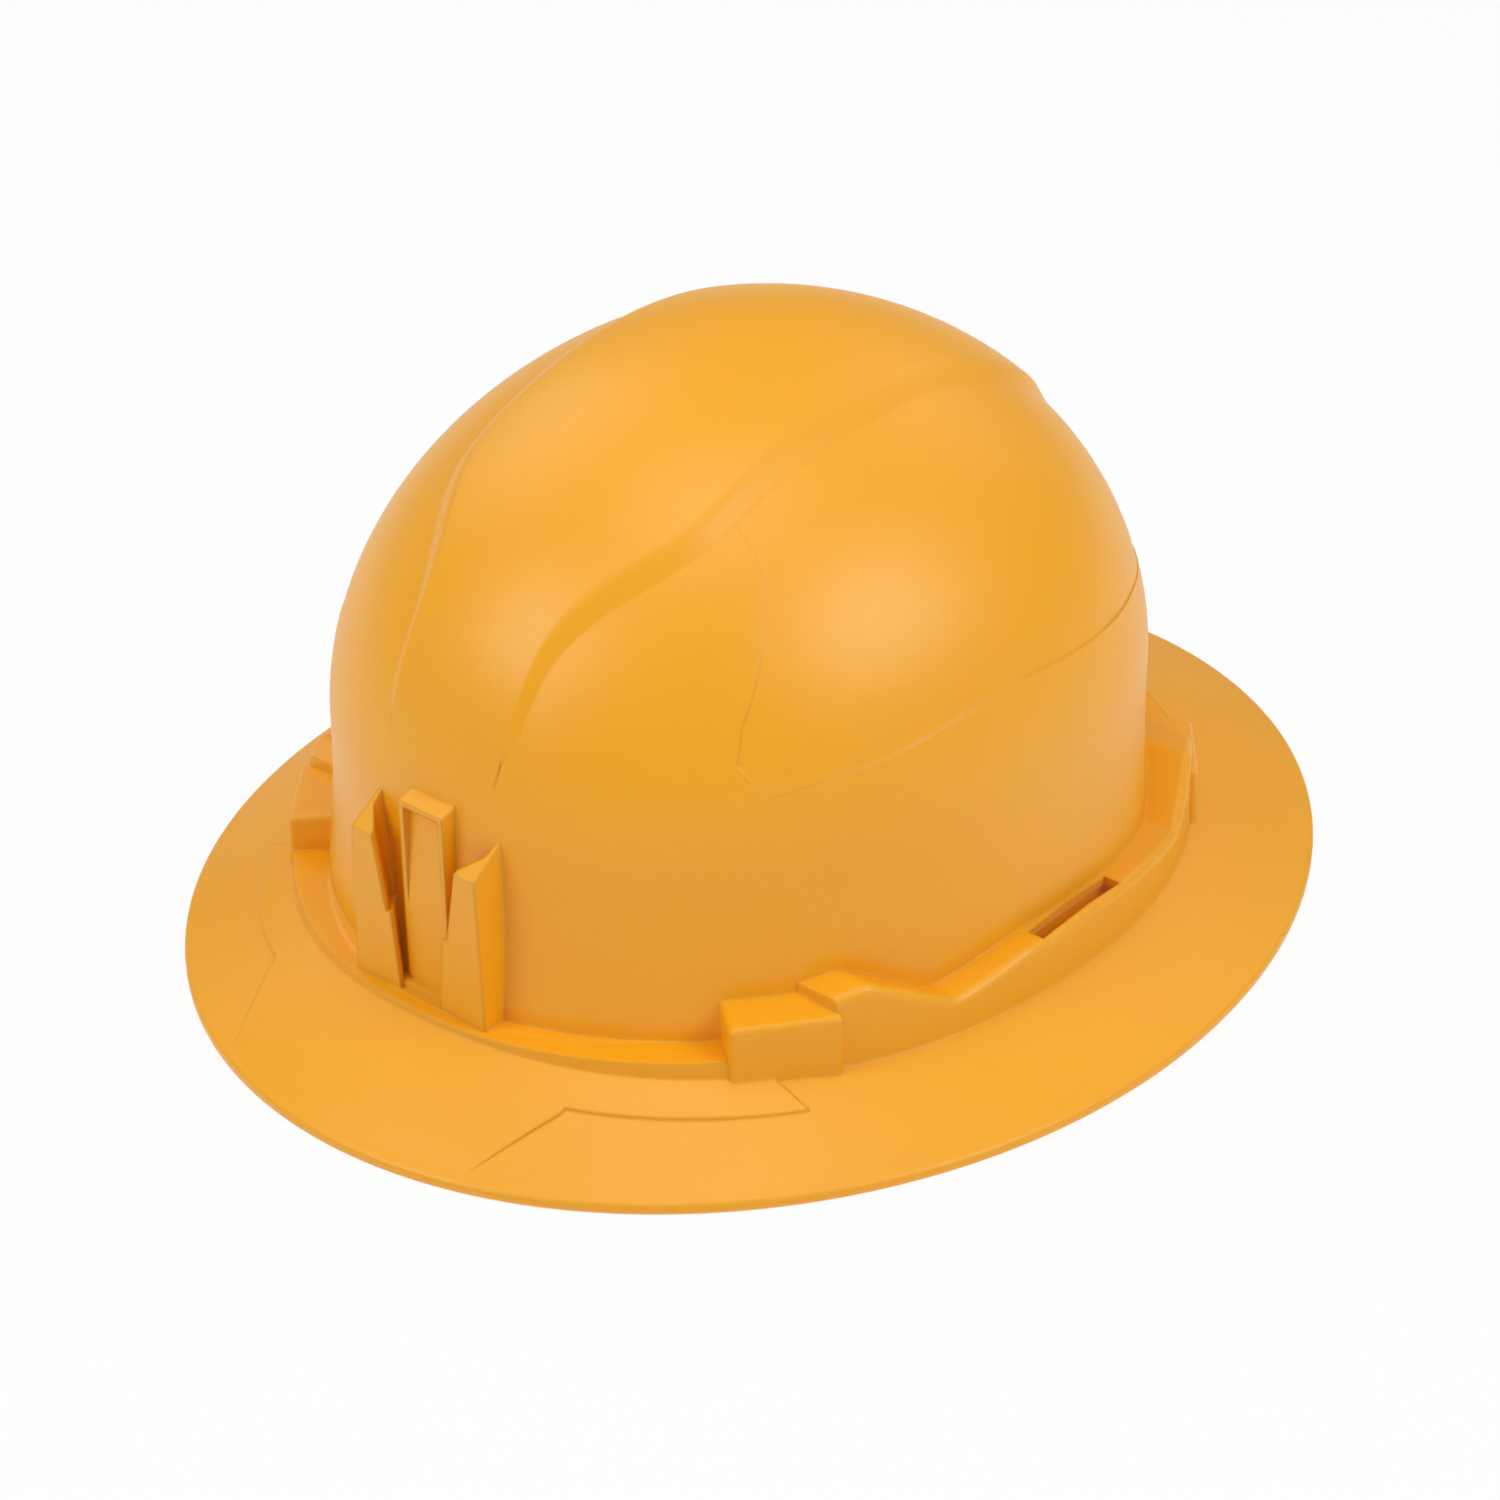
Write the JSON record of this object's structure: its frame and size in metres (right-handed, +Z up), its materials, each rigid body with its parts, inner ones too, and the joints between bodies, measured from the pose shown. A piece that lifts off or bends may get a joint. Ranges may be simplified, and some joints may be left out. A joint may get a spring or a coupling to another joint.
{
  "type": "full brim hard hat",
  "caption": "Full brim hard hat with a ridged crown, lamp brackets, side accessory slots, a strap suspension and a ratchet headband, for head protection at work.",
  "frame": {"origin": "on the plane that the brim rests on, midway between the wearer's ears", "axes": "+Z up, -Y towards the wearer's front, +X towards the wearer's left"},
  "size_m": [0.27, 0.3271, 0.1524],
  "materials": {
    "shell_plastic": "satin moulded polyethylene",
    "suspension_plastic": "fine matt moulded polyethylene",
    "ratchet_plastic": "matt moulded nylon",
    "knob_rubber": "soft ribbed grip",
    "strap_webbing": "woven polyester webbing",
    "pad_fabric": "knitted fabric over foam",
    "screw_steel": "zinc plated"
  },
  "bodies": {
    "hat": {"shell": "shell_plastic", "front_left_key": "suspension_plastic", "front_right_key": "suspension_plastic", "rear_left_key": "suspension_plastic", "rear_right_key": "suspension_plastic", "lower_crown_strap": "strap_webbing", "upper_crown_strap": "strap_webbing", "crown_pad": "pad_fabric", "headband": "suspension_plastic", "brow_pad": "pad_fabric"},
    "nape_carrier": {"left_temple_tab": "suspension_plastic", "right_temple_tab": "suspension_plastic"},
    "left_arm": {"left_rear_band": "suspension_plastic"},
    "right_arm": {"right_rear_band": "suspension_plastic"},
    "ratchet_housing": {"ratchet_inner_cover": "ratchet_plastic", "ratchet_outer_cover": "ratchet_plastic", "cover_screws": "screw_steel", "nape_pad": "pad_fabric", "detent_spring": "ratchet_plastic"},
    "knob": {"adjustment_knob": "ratchet_plastic", "knob_grip": "knob_rubber", "drive_pinion": "ratchet_plastic", "pinion_screw": "screw_steel"}
  },
  "joints": [
    {"name": "nape_tilt", "type": "hinge", "parent": "hat", "child": "nape_carrier", "pos_m": [0, -0.007, 0.024], "axis": [-1, 0, 0], "range_deg": [0, 22]},
    {"name": "left_arm_flex", "type": "hinge", "parent": "nape_carrier", "child": "left_arm", "pos_m": [0.084, 0, 0.024], "axis": [0, 0, 1], "range_deg": [0, 12.65]},
    {"name": "right_arm_flex", "type": "hinge", "parent": "nape_carrier", "child": "right_arm", "pos_m": [-0.084, 0, 0.024], "axis": [0, 0, -1], "range_deg": [0, 12.65]},
    {"name": "housing_slide", "type": "slide", "parent": "nape_carrier", "child": "ratchet_housing", "axis": [0, -1, 0], "range_m": [0, 0.0184]},
    {"name": "knob_turn", "type": "hinge", "parent": "ratchet_housing", "child": "knob", "pos_m": [0, 0.0882, 0.024], "axis": [0, -1, 0], "range_deg": [0, 209.7]}
  ],
  "couplings": [
    {"joint": "left_arm_flex", "follows": "housing_slide", "rad_per_m": 11.973},
    {"joint": "right_arm_flex", "follows": "housing_slide", "rad_per_m": 11.973},
    {"joint": "knob_turn", "follows": "housing_slide", "rad_per_m": 198.88}
  ]
}
